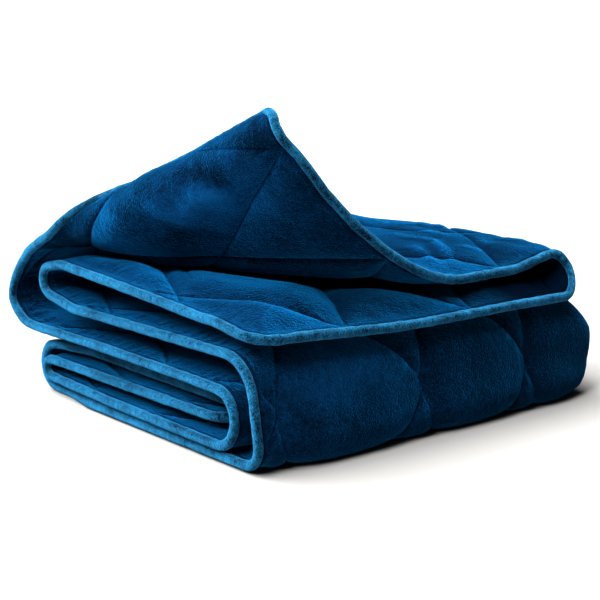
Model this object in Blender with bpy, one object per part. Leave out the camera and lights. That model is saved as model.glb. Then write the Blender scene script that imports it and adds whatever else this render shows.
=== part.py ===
"""Quilted plush blanket, folded into a stack of eight layers with its top corner turned up.

Metres, +Z up. The blanket is folded in half along its length and the doubled cloth is then carried
back and forth in four runs, one tucked inside the next. X runs from the open edges on the left to
the lengthwise fold on the right, Y runs from the rounded front towards the back, and the origin is
under the middle of the stack.

Cloth coordinates: u is the distance from the end edge that shows, along the length, and v is the
distance across, from the lower free edge (v = 0) over the lengthwise fold to the upper free edge.
"""
from math import asin, atan2, cos, hypot, pi, radians, sin

import bmesh
import bpy
import numpy as np

# ---- driving dimensions -------------------------------------------------------------------------
LENGTH = 1.98                 # along u
WIDTH = 1.175                 # along v
CORNER_RADIUS = 0.030
MIDDLE_OF_STACK = (0.2982, 0.2579)   # x and y of the origin in the frame of the tables below

DIAMOND_HALF_LENGTH = 0.207   # usual half diagonals of a quilted diamond
DIAMOND_HALF_WIDTH = 0.098
# Where the rows and columns of seam crossings lie; sewing and folding have drawn them a little uneven.
# Columns: place along u, crossings passed.
DIAMOND_ROWS = ((-0.095, -0.5), (0.0, 0.0), (0.192, 1.0), (0.604, 3.0), (0.808, 4.0), (1.180, 6.0),
                (1.828, 9.0), (2.038, 10.0))
# Columns: place along v, crossings passed.
DIAMOND_COLUMNS = ((-0.088, -2.0), (0.022, -1.0), (0.132, 0.0), (0.250, 1.0), (0.436, 3.0),
                   (0.600, 5.0), (1.010, 9.0), (1.112, 10.0), (1.198, 11.0))

PUFF_HALF_THICKNESS = 0.0088
SEAM_HALF_THICKNESS = 0.0045
EDGE_HALF_THICKNESS = 0.0042
CHANNEL_WIDTH = 0.045         # from a seam to full thickness
EDGE_TAPER = 0.030            # from the edge to full thickness

BINDING_GAP = 0.0012
BINDING_SECTION = (           # outward from the edge of the quilt, and off the cloth's mid-surface
    (0.0000, -0.0048), (0.0060, -0.0064), (0.0105, 0.0000), (0.0060, 0.0064), (0.0000, 0.0048),
)

# Each edge of the doubled cloth is carried round a set of folds like a belt round pulleys.
# Columns: name, y and z of the fold's centre, its radius, and +1 or -1 for the way it turns.
LOWER_FOLDS = (
    ("end edge", -0.012, 0.1420, 0.0, 0),
    ("shoulder", 0.075, 0.0360, 0.1200, -1),
    ("back loop", 0.440, 0.1410, 0.0145, -1),
    ("roll top", 0.040, 0.0810, 0.0520, 1),
    ("roll foot", 0.003, 0.0310, 0.0240, 1),
    ("small loop", 0.446, 0.0362, 0.0297, 1),
    ("tucked end", 0.020, 0.0650, 0.0, 0),
)
UPPER_FOLDS = (
    ("turned-up end", 0.024, 0.1800, 0.0, 0),
    ("big loop", 0.495, 0.1405, 0.0500, -1),
    ("inner roll", 0.0535, 0.0555, 0.0340, 1),
    ("small loop", 0.446, 0.0345, 0.0115, 1),
    ("tucked end", 0.020, 0.0465, 0.0, 0),
)
BELT_STEP = 0.002
BELT_SOFTNESS = 0.024         # length over which a fold eases into the straight
BELT_OVERRUN = 0.080          # how far a belt is known beyond its two ends
STRAIGHT_END = 0.5            # straight length added to a belt's ends before it is softened

# What the left end of the stack stands above the belts. Columns: u, lift.
LOWER_LIFT = ((0.0, 0.017), (0.1, 0.013), (0.2, 0.019), (0.3, 0.024), (0.42, 0.029),
              (0.50, 0.012), (0.56, 0.002), (0.7, 0.002), (LENGTH, 0.0))
UPPER_LIFT = ((0.0, 0.0), (0.25, 0.0), (0.33, 0.012), (0.37, 0.018), (0.42, 0.019), (0.45, 0.009),
              (0.49, -0.008), (0.52, -0.012), (0.56, -0.005), (0.60, -0.001), (0.65, -0.003),
              (0.70, -0.002), (0.80, 0.0), (LENGTH, 0.0))
LIFT_REACH = 0.16
BED_LIFT_REACH = 0.27         # under the turned-up corner, up to u = BED_LENGTH
BED_LENGTH = 0.45

# The right end of the top pair. Columns: u, how far it is drawn in, how far it stands up, how much
# further its upper half does.
RIGHT_END = ((0.0, 0.013, 0.001, 0.013), (0.03, 0.013, 0.005, 0.010), (0.06, 0.013, 0.008, 0.0065),
             (0.1, 0.0125, 0.009, 0.0035), (0.15, 0.012, 0.010, 0.0035), (0.2, 0.0105, 0.008, 0.0045),
             (0.25, 0.009, 0.006, 0.004), (0.3, 0.0065, 0.003, 0.003), (0.36, 0.004, 0.0, -0.002),
             (0.44, 0.0, -0.003, -0.002), (0.52, 0.0, 0.0, 0.0), (LENGTH, 0.0, 0.0, 0.0))
RIGHT_START, RIGHT_REACH = 0.29, 0.22
LOWER_DRAW, UPPER_DRAW = 1.45, 0.55   # how much of the drawing-in the lower and the upper half take
# The right end of the roll. Columns: height above the ground, how far it is drawn in.
ROLL_END = ((0.0, 0.020), (0.03, 0.008), (0.055, -0.003), (0.085, -0.006), (0.115, -0.001), (0.14, 0.0))
TIP_START, TIP_REACH = 0.45, 0.09
# Between its ends the foot of the roll bulges forward.
FOOT_BULGE, FOOT_DEPTH, FOOT_HEIGHT = 0.013, 0.075, 0.085
FOOT_LEFT_END = (0.0, 0.09)   # x where the bulge starts, and over what length
FOOT_RIGHT_END = (0.44, 0.13)
# The end edge. Columns: v, how far it bows out, how far it is lifted.
END_EDGE = ((0.0, 0.0, 0.0), (0.12, 0.0, 0.001), (0.25, 0.0, 0.0035), (0.42, 0.0, 0.0025),
            (0.55, 0.0, 0.0), (0.86, 0.0, 0.0), (0.97, -0.008, 0.0), (1.03, -0.003, 0.0),
            (1.06, 0.0035, 0.0), (1.09, 0.009, 0.0), (1.13, 0.0115, 0.0), (1.15, 0.011, 0.0),
            (WIDTH, 0.003, 0.0))
END_REACH = 0.16

# How the two free long edges lie at the left face. Columns: u, droop, set-back along x.
LOWER_EDGE = ((0.0, 0.0, 0.0), (1.0, 0.0, 0.0), (1.14, 0.0, 0.0), (1.41, 0.0, 0.0),
              (1.47, 0.0, 0.011), (1.59, 0.0, 0.012), (1.67, 0.0, 0.029), (LENGTH, 0.0, 0.030))
UPPER_EDGE = ((0.0, 0.0, -0.035), (0.08, 0.0, -0.041), (0.14, 0.0, -0.044), (0.21, 0.0, -0.054),
              (0.26, 0.0, -0.053), (0.31, 0.0, -0.042), (0.36, 0.0, -0.025), (0.42, 0.0, -0.008),
              (0.50, 0.0, 0.010), (0.53, 0.0, 0.009), (0.57, 0.0, 0.001), (0.63, 0.0, 0.0),
              (0.75, 0.0, 0.0), (1.0, 0.0, 0.0), (1.14, 0.0, -0.004), (1.41, 0.0, -0.003), (1.5, 0.0, 0.0),
              (1.62, 0.001, 0.004), (LENGTH, 0.0, 0.012))
DROOP_REACH = 0.070

# The layers lie opposite each other at the lengthwise fold, so the upper one slides along its belt
# from the left face, where it is free, to there. Y of the middle of the runs, where they are matched.
MIDDLE_OF_RUNS = 0.25
SLIDE_START = 0.10            # x where the slide begins

# Share of the full thickness where the cloth is pressed in a tight fold. Columns: u, share.
PRESSED = ((0.0, 1.0), (0.42, 1.0), (0.45, 0.85), (0.50, 0.85), (0.53, 1.0), (1.07, 1.0),
           (1.13, 0.80), (1.42, 0.80), (1.45, 0.70), (1.53, 0.70), (1.58, 0.85), (LENGTH, 0.85))
FOLD_FILL = 0.40              # most of half the gap at the lengthwise fold that half the thickness takes
FOLD_HALF_WIDTH = 0.030
FOLD_FLARE = 0.12             # how fast the cloth is full again beside the lengthwise fold

# The turned-up corner is bent about a crease that runs across the top layer.
CREASE_FRONT = (0.359, 0.025)
CREASE_BACK = (-0.046, 0.562)
CREASE_RADIUS = 0.119
CREASE_TURN = radians(59.0)
CREASE_LEVEL = 0.180
CREASE_FADE = (0.36, 0.18)    # u where the bend starts to fade into the big loop, and over what length

# The long edge of the turned-up corner curls away from its underside.
CURL_WIDTH = 0.062
CURL_TURN = radians(118.0)
CURL_FADE = (0.22, 0.20)

# Mesh stations. Columns: start, spacing up to the next row's start.
ROW_SPACING = ((0.0, 0.020), (0.02, 0.052), (0.425, 0.015), (0.53, 0.020), (0.61, 0.080),
               (0.905, 0.0225), (1.175, 0.075), (1.465, 0.014), (1.605, 0.065), (LENGTH - 0.02, 0.020))
COLUMN_SPACING = ((0.0, 0.020), (0.02, 0.040), (0.06, 0.078), (0.53, 0.0165), (0.662, 0.094),
                  (WIDTH - 0.105, 0.030), (WIDTH - 0.015, 0.015))
CUT_DISTANCE = 0.01           # in diamonds: a seam this near to a mesh point passes through it
MERGE_DISTANCE = 0.0060       # seam points nearer than this to a station join it
REST_DEPTH = 0.0034           # the underside is pressed flat where it would come this near the ground


def table_value(table, u, column):
    """Value of a table's column at u, read along straight lines between its rows."""
    return float(np.interp(u, [row[0] for row in table], [row[column] for row in table]))


def place_of(table, count):
    """Where along the cloth a count of seam crossings is reached."""
    return float(np.interp(count, [row[1] for row in table], [row[0] for row in table]))


def ease(t):
    """0 to 1 with level ends."""
    t = min(max(t, 0.0), 1.0)
    return t * t * (3.0 - 2.0 * t)


# ---- the folded section -------------------------------------------------------------------------
def belt(folds):
    """Length, y and z along a line carried round the folds, softened, with 0 at the first row."""
    centre = [np.array(fold[1:3]) for fold in folds]
    radius = [fold[3] * fold[4] for fold in folds]
    heading = []
    for here, after, r_here, r_after in zip(centre, centre[1:], radius, radius[1:]):
        gap = after - here
        heading.append(atan2(gap[1], gap[0]) - asin((r_after - r_here) / hypot(*gap)))
    points = [centre[0][None]]
    for i in range(1, len(folds) - 1):
        turn = (heading[i] - heading[i - 1]) % (2 * pi)
        if radius[i] < 0:
            turn -= 2 * pi
        count = max(2, int(abs(turn * radius[i]) / BELT_STEP) + 1)
        angle = np.linspace(heading[i - 1], heading[i - 1] + turn, count)
        arc = np.column_stack([np.sin(angle), -np.cos(angle)]) * radius[i]
        points.append(centre[i] + arc)
    points.append(centre[-1][None])
    line = np.concatenate(points)

    def unit(vector):
        return vector / hypot(*vector)

    line = np.vstack([line[0] - unit(line[1] - line[0]) * STRAIGHT_END, line,
                      line[-1] + unit(line[-1] - line[-2]) * STRAIGHT_END])
    length = np.concatenate([[0.0], np.cumsum(np.hypot(*np.diff(line, axis=0).T))]) - STRAIGHT_END
    station = np.arange(-BELT_OVERRUN, LENGTH + 2 * BELT_OVERRUN, BELT_STEP)
    y = np.interp(station, length, line[:, 0])
    z = np.interp(station, length, line[:, 1])
    reach = int(BELT_SOFTNESS / BELT_STEP)
    weight = np.hanning(reach + 2)[1:-1]
    weight /= weight.sum()
    y = np.convolve(np.pad(y, reach, mode="edge"), weight, "same")[reach:-reach]
    z = np.convolve(np.pad(z, reach, mode="edge"), weight, "same")[reach:-reach]
    run = np.concatenate([[0.0], np.cumsum(np.hypot(np.diff(y), np.diff(z)))])
    run -= run[np.argmin(np.abs(station))]
    return run, y, z


def on_belt(line, length):
    return np.array([np.interp(length, line[0], line[1]), np.interp(length, line[0], line[2])])


def landmarks(line):
    """Lengths at which a belt passes the middle of its runs and the tips of the folds between."""
    inside = np.flatnonzero((line[0] >= 0) & (line[0] <= LENGTH))
    side = line[1][inside] > MIDDLE_OF_RUNS
    crossing = inside[1:][side[1:] != side[:-1]]
    marks = []
    for here, after in zip(crossing, crossing[1:]):
        stretch = line[1][here:after]
        tip = here + (np.argmax(stretch) if stretch[1] > MIDDLE_OF_RUNS else np.argmin(stretch))
        marks += [line[0][here], line[0][tip]]
    return marks + [line[0][crossing[-1]]]


LOWER_BELT = belt(LOWER_FOLDS)
UPPER_BELT = belt(UPPER_FOLDS)
LOWER_MARKS = landmarks(LOWER_BELT)
UPPER_MARKS = landmarks(UPPER_BELT)


def bend_corner(x, y, z):
    """Carry a point of the flat top layer up round the crease."""
    along = hypot(CREASE_BACK[0] - CREASE_FRONT[0], CREASE_BACK[1] - CREASE_FRONT[1])
    cx = (CREASE_BACK[0] - CREASE_FRONT[0]) / along
    cy = (CREASE_BACK[1] - CREASE_FRONT[1]) / along
    nx, ny = -cy, cx
    dx, dy = x - CREASE_FRONT[0], y - CREASE_FRONT[1]
    beyond = dx * nx + dy * ny
    if beyond <= 0:
        return x, y, z
    slide = dx * cx + dy * cy
    turn = min(beyond / CREASE_RADIUS, CREASE_TURN)
    straight = max(beyond - CREASE_RADIUS * CREASE_TURN, 0.0)
    arm = CREASE_RADIUS - (z - CREASE_LEVEL)
    out = arm * sin(turn) + straight * cos(CREASE_TURN)
    up = CREASE_RADIUS - arm * cos(turn) + straight * sin(CREASE_TURN)
    return (CREASE_FRONT[0] + slide * cx + out * nx,
            CREASE_FRONT[1] + slide * cy + out * ny,
            CREASE_LEVEL + up)


def opposite(u):
    """Length along the upper belt that lies opposite u on the lower one, at the lengthwise fold."""
    lower_end = on_belt(LOWER_BELT, LENGTH)[0]
    upper_end = on_belt(UPPER_BELT, LENGTH)[0]
    lower_marks = [0.0] + LOWER_MARKS + [LENGTH]
    upper_marks = [0.0] + UPPER_MARKS + [LENGTH + upper_end - lower_end]
    inside = min(max(u, 0.0), LENGTH)
    return float(np.interp(inside, lower_marks, upper_marks)) + u - inside


def half_gap(u):
    """Half the distance from the lower belt at u to the upper one."""
    y, z = on_belt(LOWER_BELT, u)
    return float(np.hypot(UPPER_BELT[1] - y, UPPER_BELT[2] - z).min()) / 2


def cloth_point(u, v):
    """Place of a point of the cloth's mid-surface in the folded blanket."""
    near_end = 1 - ease(u / END_REACH)
    u -= table_value(END_EDGE, v, 1) * near_end
    lower = on_belt(LOWER_BELT, u)
    matched = opposite(u)
    across_fold = on_belt(UPPER_BELT, matched) - lower
    lower_x = table_value(LOWER_EDGE, u, 2)
    upper_x = table_value(UPPER_EDGE, u, 2)
    fold_radius = hypot(*across_fold) / 2
    fold_x = (WIDTH - pi * fold_radius + lower_x + upper_x) / 2
    round_fold = min(max((v - fold_x + lower_x) / fold_radius, 0.0), pi)
    upper_share = (1 - cos(round_fold)) / 2
    if round_fold < pi:
        y, z = lower + across_fold * upper_share
        if round_fold > 0.0:
            x = fold_x + fold_radius * sin(round_fold)
        else:
            x = lower_x + v
            z += table_value(LOWER_EDGE, u, 1) * (1 - ease(v / DROOP_REACH))
            reach = BED_LIFT_REACH if u < BED_LENGTH else LIFT_REACH
            z += table_value(LOWER_LIFT, u, 1) * (1 - ease(x / reach))
            z += table_value(END_EDGE, v, 2) * near_end
    else:
        x = upper_x + WIDTH - v
        slide = ease((x - SLIDE_START) / (fold_x - SLIDE_START))
        run = u + (matched - u) * slide
        y, z = on_belt(UPPER_BELT, run)
        z += table_value(UPPER_EDGE, u, 1) * (1 - ease((WIDTH - v) / DROOP_REACH))
        z += table_value(UPPER_LIFT, run, 1) * (1 - ease(x / LIFT_REACH))
        to_edge = CURL_WIDTH - (WIDTH - v)
        curl = CURL_TURN / CURL_WIDTH * (1 - ease((u - CURL_FADE[0]) / CURL_FADE[1]))
        if to_edge > 0 and curl > 0.01:
            x += to_edge - sin(to_edge * curl) / curl
            z += (1 - cos(to_edge * curl)) / curl
        share = 1 - ease((run - CREASE_FADE[0]) / CREASE_FADE[1])
        bx, by, bz = bend_corner(x, y, z)
        x, y, z = x + (bx - x) * share, y + (by - y) * share, z + (bz - z) * share
    to_right = ease((x - RIGHT_START) / RIGHT_REACH)
    to_tip = ease((x - TIP_START) / TIP_REACH)
    draw = LOWER_DRAW + (UPPER_DRAW - LOWER_DRAW) * upper_share
    x -= table_value(RIGHT_END, u, 1) * draw * to_right
    x -= table_value(ROLL_END, z, 1) * to_tip
    z += table_value(RIGHT_END, u, 2) * to_right + table_value(RIGHT_END, u, 3) * upper_share * to_tip
    foot = ease((FOOT_DEPTH - y) / FOOT_DEPTH) * ease(1 - z / FOOT_HEIGHT)
    foot *= ease((x - FOOT_LEFT_END[0]) / FOOT_LEFT_END[1])
    foot *= 1 - ease((x - FOOT_RIGHT_END[0]) / FOOT_RIGHT_END[1])
    y -= FOOT_BULGE * foot
    return np.array([x - MIDDLE_OF_STACK[0], y - MIDDLE_OF_STACK[1], z])


def cloth_frame(u, v):
    """The point, the directions of growing u and v along the cloth, and the normal between them."""
    small = 0.002
    along = cloth_point(u + small, v) - cloth_point(u - small, v)
    across = cloth_point(u, v + small) - cloth_point(u, v - small)
    along /= np.linalg.norm(along)
    across /= np.linalg.norm(across)
    normal = np.cross(along, across)
    return cloth_point(u, v), along, across, normal / np.linalg.norm(normal)


def half_thickness(u, v):
    """Half the quilt's thickness: full in a diamond, drawn in at the seams and towards the edge."""
    row = table_value(DIAMOND_ROWS, u, 1)
    column = table_value(DIAMOND_COLUMNS, v, 1)
    per_metre = hypot(1 / DIAMOND_HALF_LENGTH, 1 / DIAMOND_HALF_WIDTH) / 2
    puff = 1.0
    for count in ((row + column) / 2, (row - column) / 2):
        from_seam = abs(count - round(count)) / per_metre
        puff *= 1 - (1 - min(from_seam / CHANNEL_WIDTH, 1.0)) ** 2.2
    inner = SEAM_HALF_THICKNESS + (PUFF_HALF_THICKNESS - SEAM_HALF_THICKNESS) * puff
    inner *= table_value(PRESSED, u, 1)
    from_fold = max(abs(v - WIDTH / 2) - FOLD_HALF_WIDTH, 0.0)
    inner = min(inner, FOLD_FILL * half_gap(u) + FOLD_FLARE * from_fold)
    from_edge = min(u, LENGTH - u, v, WIDTH - v)
    return EDGE_HALF_THICKNESS + (inner - EDGE_HALF_THICKNESS) * ease(from_edge / EDGE_TAPER)


# ---- the flat pattern ---------------------------------------------------------------------------
def stations(spacing, end):
    """Positions from 0 to end, evenly spread between the starts of the spacing's rows."""
    starts = [row[0] for row in spacing] + [end]
    places = []
    for (start, step), after in zip(spacing, starts[1:]):
        count = max(1, round((after - start) / step))
        places += [start + (after - start) * i / count for i in range(count)]
    return places + [end]


def round_corner(x, y):
    """Pull the pattern's four square corners in to quarter circles."""
    dx = max(CORNER_RADIUS - x, 0.0) - max(CORNER_RADIUS - (WIDTH - x), 0.0)
    dy = max(CORNER_RADIUS - y, 0.0) - max(CORNER_RADIUS - (LENGTH - y), 0.0)
    if dx == 0.0 or dy == 0.0:
        return x, y
    shrink = 1 - max(abs(dx), abs(dy)) / hypot(dx, dy)
    return x + dx * shrink, y + dy * shrink


def flat_pattern():
    """A flat mesh of the cloth, x = v and y = u, cut along the fold stations and the quilting seams."""
    columns = stations(COLUMN_SPACING, WIDTH)
    rows = stations(ROW_SPACING, LENGTH)
    mesh = bmesh.new()
    bmesh.ops.create_grid(mesh, x_segments=len(columns) - 1, y_segments=len(rows) - 1, size=0.5)
    for vert in mesh.verts:
        vert.co.x = columns[round((vert.co.x + 0.5) * (len(columns) - 1))]
        vert.co.y = rows[round((vert.co.y + 0.5) * (len(rows) - 1))]
    for vert in mesh.verts:                          # to where all diamonds are alike
        vert.co.x = table_value(DIAMOND_COLUMNS, vert.co.x, 1)
        vert.co.y = table_value(DIAMOND_ROWS, vert.co.y, 1)
    reach = int(DIAMOND_ROWS[-1][1] + DIAMOND_COLUMNS[-1][1]) // 2 + 1
    for side in (1, -1):
        for count in range(-reach, reach + 1):
            bmesh.ops.bisect_plane(mesh, geom=mesh.verts[:] + mesh.edges[:] + mesh.faces[:],
                                   dist=CUT_DISTANCE, plane_co=(0, 2 * count, 0), plane_no=(side, 1, 0))
    for vert in mesh.verts:
        vert.co.x = place_of(DIAMOND_COLUMNS, vert.co.x)
        vert.co.y = place_of(DIAMOND_ROWS, vert.co.y)
    bmesh.ops.remove_doubles(mesh, verts=mesh.verts, dist=MERGE_DISTANCE)
    bmesh.ops.triangulate(mesh, faces=mesh.faces)
    for vert in mesh.verts:
        vert.co.x, vert.co.y = round_corner(vert.co.x, vert.co.y)
    return mesh


def edge_loop(mesh):
    """Places on the pattern's outline, in order, as (u, v)."""
    outline = {vert: [edge.other_vert(vert) for edge in vert.link_edges if edge.is_boundary]
               for vert in mesh.verts if vert.is_boundary}
    start = min(outline, key=lambda vert: (vert.co.x + vert.co.y, vert.index))
    loop, here, before = [start], outline[start][0], start
    while here is not start:
        loop.append(here)
        here, before = next(v for v in outline[here] if v is not before), here
    return [(vert.co.y, vert.co.x) for vert in loop]


# ---- the pieces ---------------------------------------------------------------------------------
def plush(name, colour, roughness):
    material = bpy.data.materials.new(name)
    material.use_nodes = True
    shader = material.node_tree.nodes["Principled BSDF"]
    shader.inputs["Base Color"].default_value = (*colour, 1.0)
    shader.inputs["Roughness"].default_value = roughness
    shader.inputs["Metallic"].default_value = 0.0
    return material


def add_piece(name, mesh, material, collection):
    if mesh.calc_volume(signed=True) < 0:
        bmesh.ops.reverse_faces(mesh, faces=mesh.faces)
    data = bpy.data.meshes.new(name)
    mesh.to_mesh(data)
    mesh.free()
    data.materials.append(material)
    data.shade_smooth()
    collection.objects.link(bpy.data.objects.new(name, data))


def build_quilt(pattern):
    """Two faces a thickness apart, closed round the edge, lying flat where the stack rests."""
    mesh = pattern.copy()
    bmesh.ops.solidify(mesh, geom=mesh.faces, thickness=1.0)
    middle = (max(v.co.z for v in mesh.verts) + min(v.co.z for v in mesh.verts)) / 2
    for vert in mesh.verts:
        u, v, side = vert.co.y, vert.co.x, 1 if vert.co.z > middle else -1
        point, _, _, normal = cloth_frame(u, v)
        place = point + normal * side * half_thickness(u, v)
        vert.co = (place[0], place[1], place[2] if place[2] > REST_DEPTH else 0.0)
    bmesh.ops.triangulate(mesh, faces=mesh.faces)
    return mesh


def build_binding(loop):
    """A ring swept along the quilt's edge, its section turning with the cloth."""
    mesh = bmesh.new()
    rings = []
    for i, (u, v) in enumerate(loop):
        (u_before, v_before), (u_after, v_after) = loop[i - 1], loop[(i + 1) % len(loop)]
        point, along, across, normal = cloth_frame(u, v)
        run = along * (u_after - u_before) + across * (v_after - v_before)
        outward = np.cross(run, normal)
        outward /= np.linalg.norm(outward)
        inside = across * (WIDTH / 2 - v) + along * (LENGTH / 2 - u)
        if outward @ inside > 0:
            outward = -outward
        section = [point + outward * (BINDING_GAP + out) + normal * off for out, off in BINDING_SECTION]
        rings.append([mesh.verts.new(place) for place in section])
    sides = len(BINDING_SECTION)
    for ring, after in zip(rings, rings[1:] + rings[:1]):
        for k in range(sides):
            mesh.faces.new((ring[k], ring[(k + 1) % sides], after[(k + 1) % sides], after[k]))
    bmesh.ops.recalc_face_normals(mesh, faces=mesh.faces)
    bmesh.ops.triangulate(mesh, faces=mesh.faces)
    return mesh


for old in list(bpy.data.objects):
    bpy.data.objects.remove(old, do_unlink=True)
blanket = bpy.data.collections.new("weighted_blanket")
bpy.context.scene.collection.children.link(blanket)
cloth = flat_pattern()
outline = edge_loop(cloth)
face_plush = plush("navy_plush", (0.006, 0.075, 0.205), 0.85)
strip_plush = plush("navy_plush_strip", (0.015, 0.135, 0.300), 0.80)
add_piece("quilt", build_quilt(cloth), face_plush, blanket)
add_piece("binding", build_binding(outline), strip_plush, blanket)
cloth.free()
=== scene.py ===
from math import asin, atan2, cos, hypot, pi, radians, sin

import bmesh
import bpy
import numpy as np
from mathutils import Matrix, Vector, noise


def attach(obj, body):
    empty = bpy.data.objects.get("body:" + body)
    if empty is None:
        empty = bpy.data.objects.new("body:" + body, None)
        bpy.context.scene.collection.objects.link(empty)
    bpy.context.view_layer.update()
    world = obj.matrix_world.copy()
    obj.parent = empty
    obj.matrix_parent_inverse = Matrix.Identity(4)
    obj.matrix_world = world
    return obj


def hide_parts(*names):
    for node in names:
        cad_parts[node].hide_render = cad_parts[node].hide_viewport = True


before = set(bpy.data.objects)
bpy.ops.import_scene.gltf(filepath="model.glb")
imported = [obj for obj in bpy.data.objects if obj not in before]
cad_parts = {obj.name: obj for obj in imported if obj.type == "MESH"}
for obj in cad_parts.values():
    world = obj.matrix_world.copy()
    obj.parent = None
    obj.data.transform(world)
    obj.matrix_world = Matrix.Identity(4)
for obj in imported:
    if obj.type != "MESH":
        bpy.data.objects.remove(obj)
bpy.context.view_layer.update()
scene = bpy.context.scene

# metres; the cloth's tables start at the stack's near bottom corner, and this is its middle from there
middleOfStack = (0.2982, 0.2579)


# camera, floor and light
view = {
    "lens": 96.0, "sensor": 36.0,
    "turn": radians(39.2215), "rise": radians(12.3757),   # round the stack, and above the floor
    "distance": 1.8595, "aimAside": -0.0558, "aimUp": -0.1999,   # of the near bottom corner in the picture
}


def addCamera():
    turn, rise = view["turn"], view["rise"]
    back = Vector((-sin(turn) * cos(rise), -cos(turn) * cos(rise), sin(rise)))
    right = Vector((cos(turn), -sin(turn), 0))
    up = back.cross(right)
    corner = right * view["aimAside"] + up * view["aimUp"] - back * view["distance"]
    data = bpy.data.cameras.new("camera")
    data.lens = view["lens"]
    data.sensor_width = view["sensor"]
    camera = bpy.data.objects.new("camera", data)
    camera.matrix_world = Matrix((right, up, back)).transposed().to_4x4()
    camera.location = Vector((-middleOfStack[0], -middleOfStack[1], 0)) - corner
    scene.collection.objects.link(camera)
    scene.camera = camera


studio = {
    "floorColour": (0.36, 0.36, 0.36), "floorSize": 200.0,
    # a wide soft light hangs above, behind and to the left; the rest of the room is dim
    "skyColour": (1.0, 0.98, 0.95), "skyFrom": (-0.28, 0.42, 0.86), "skyDim": 0.035, "skyBright": 10.4,
    "skyEdge": 0.62, "gamma": 0.80,
    # name, direction it shines from, strength, how wide it looks, colour
    "suns": (
        ("keyLight", (-0.80, -0.22, 0.78), 2.9, radians(22), (1.0, 0.99, 0.97)),
        ("backLight", (-0.35, 0.70, 0.80), 0.6, radians(36), (0.97, 0.99, 1.0)),
    ),
}


def addStudio():
    mesh = bmesh.new()
    bmesh.ops.create_grid(mesh, x_segments=1, y_segments=1, size=studio["floorSize"] / 2)
    floor = newObject("floor", mesh)
    paint = bpy.data.materials.new("floorPaint")
    paint.use_nodes = True
    shader = paint.node_tree.nodes["Principled BSDF"]
    shader.inputs["Base Color"].default_value = (*studio["floorColour"], 1)
    shader.inputs["Roughness"].default_value = 0.9
    shader.inputs["Specular IOR Level"].default_value = 0.1
    floor.data.materials.append(paint)
    world = bpy.data.worlds.new("studio")
    world.use_nodes = True
    tree = world.node_tree
    sky = tree.nodes["Background"]
    sky.inputs["Color"].default_value = (*studio["skyColour"], 1)
    direction = tree.nodes.new("ShaderNodeTexCoord")
    towards = tree.nodes.new("ShaderNodeVectorMath")
    towards.operation = "DOT_PRODUCT"
    towards.inputs[1].default_value = Vector(studio["skyFrom"]).normalized()
    tree.links.new(direction.outputs["Generated"], towards.inputs[0])
    level = tree.nodes.new("ShaderNodeMapRange")
    level.interpolation_type = "SMOOTHSTEP"
    level.inputs["From Min"].default_value = studio["skyEdge"]
    level.inputs["To Min"].default_value = studio["skyDim"]
    level.inputs["To Max"].default_value = studio["skyBright"]
    tree.links.new(towards.outputs["Value"], level.inputs["Value"])
    tree.links.new(level.outputs["Result"], sky.inputs["Strength"])
    scene.world = world
    for name, place, strength, width, colour in studio["suns"]:
        data = bpy.data.lights.new(name, "SUN")
        data.energy = strength
        data.angle = width
        data.color = colour
        sun = bpy.data.objects.new(name, data)
        sun.location = place
        sun.rotation_euler = Vector(place).to_track_quat("Z", "Y").to_euler()
        scene.collection.objects.link(sun)
    scene.view_settings.view_transform = "Standard"
    scene.view_settings.look = "None"
    scene.view_settings.gamma = studio["gamma"]


def newObject(name, mesh):
    data = bpy.data.meshes.new(name)
    mesh.to_mesh(data)
    mesh.free()
    data.shade_smooth()
    thing = bpy.data.objects.new(name, data)
    scene.collection.objects.link(thing)
    return thing


# how the cloth is folded
# u runs along the length from the end that shows, v across it from the lower free edge, over the
# lengthwise fold, to the upper free edge
blanket = {
    "length": 1.98, "width": 1.175, "cornerRadius": 0.030,
    "puffHalf": 0.0088, "seamHalf": 0.0038, "edgeHalf": 0.0042, "edgeTaper": 0.030,
}

# fold, y and z of its centre, radius, way it turns
lowerFolds = (
    ("end edge", -0.012, 0.1420, 0.0, 0),
    ("shoulder", 0.075, 0.0360, 0.1200, -1),
    ("back loop", 0.440, 0.1410, 0.0145, -1),
    ("roll top", 0.040, 0.0810, 0.0520, 1),
    ("roll foot", 0.003, 0.0310, 0.0240, 1),
    ("small loop", 0.446, 0.0362, 0.0297, 1),
    ("tucked end", 0.020, 0.0650, 0.0, 0),
)
upperFolds = (
    ("turned-up end", 0.024, 0.1800, 0.0, 0),
    ("big loop", 0.495, 0.1405, 0.0500, -1),
    ("inner roll", 0.0535, 0.0555, 0.0340, 1),
    ("small loop", 0.446, 0.0345, 0.0115, 1),
    ("tucked end", 0.020, 0.0465, 0.0, 0),
)
folding = {
    "step": 0.002, "softness": 0.024, "overrun": 0.080, "straightEnd": 0.5,
    "liftReach": 0.16, "bedLiftReach": 0.27, "droopReach": 0.070, "endReach": 0.16,
    "bedLength": 0.45,                     # under the turned-up corner, from the end that shows
    "rightStart": 0.29, "rightReach": 0.22, "tipStart": 0.45, "tipReach": 0.09,
    "lowerDraw": 1.45, "upperLess": 0.9,   # how far the right end is drawn in, and how much less above
    "footBulge": 0.013, "footDepth": 0.075, "footHeight": 0.085,
    "footLeft": (0.0, 0.09), "footRight": (0.44, 0.13),   # x where the bulge starts and stops, how slowly
    "middleOfRuns": 0.25, "slideStart": 0.10,
    "foldFill": 0.40, "foldHalfWidth": 0.030, "foldFlare": 0.12,
}
end = blanket["length"]
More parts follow.
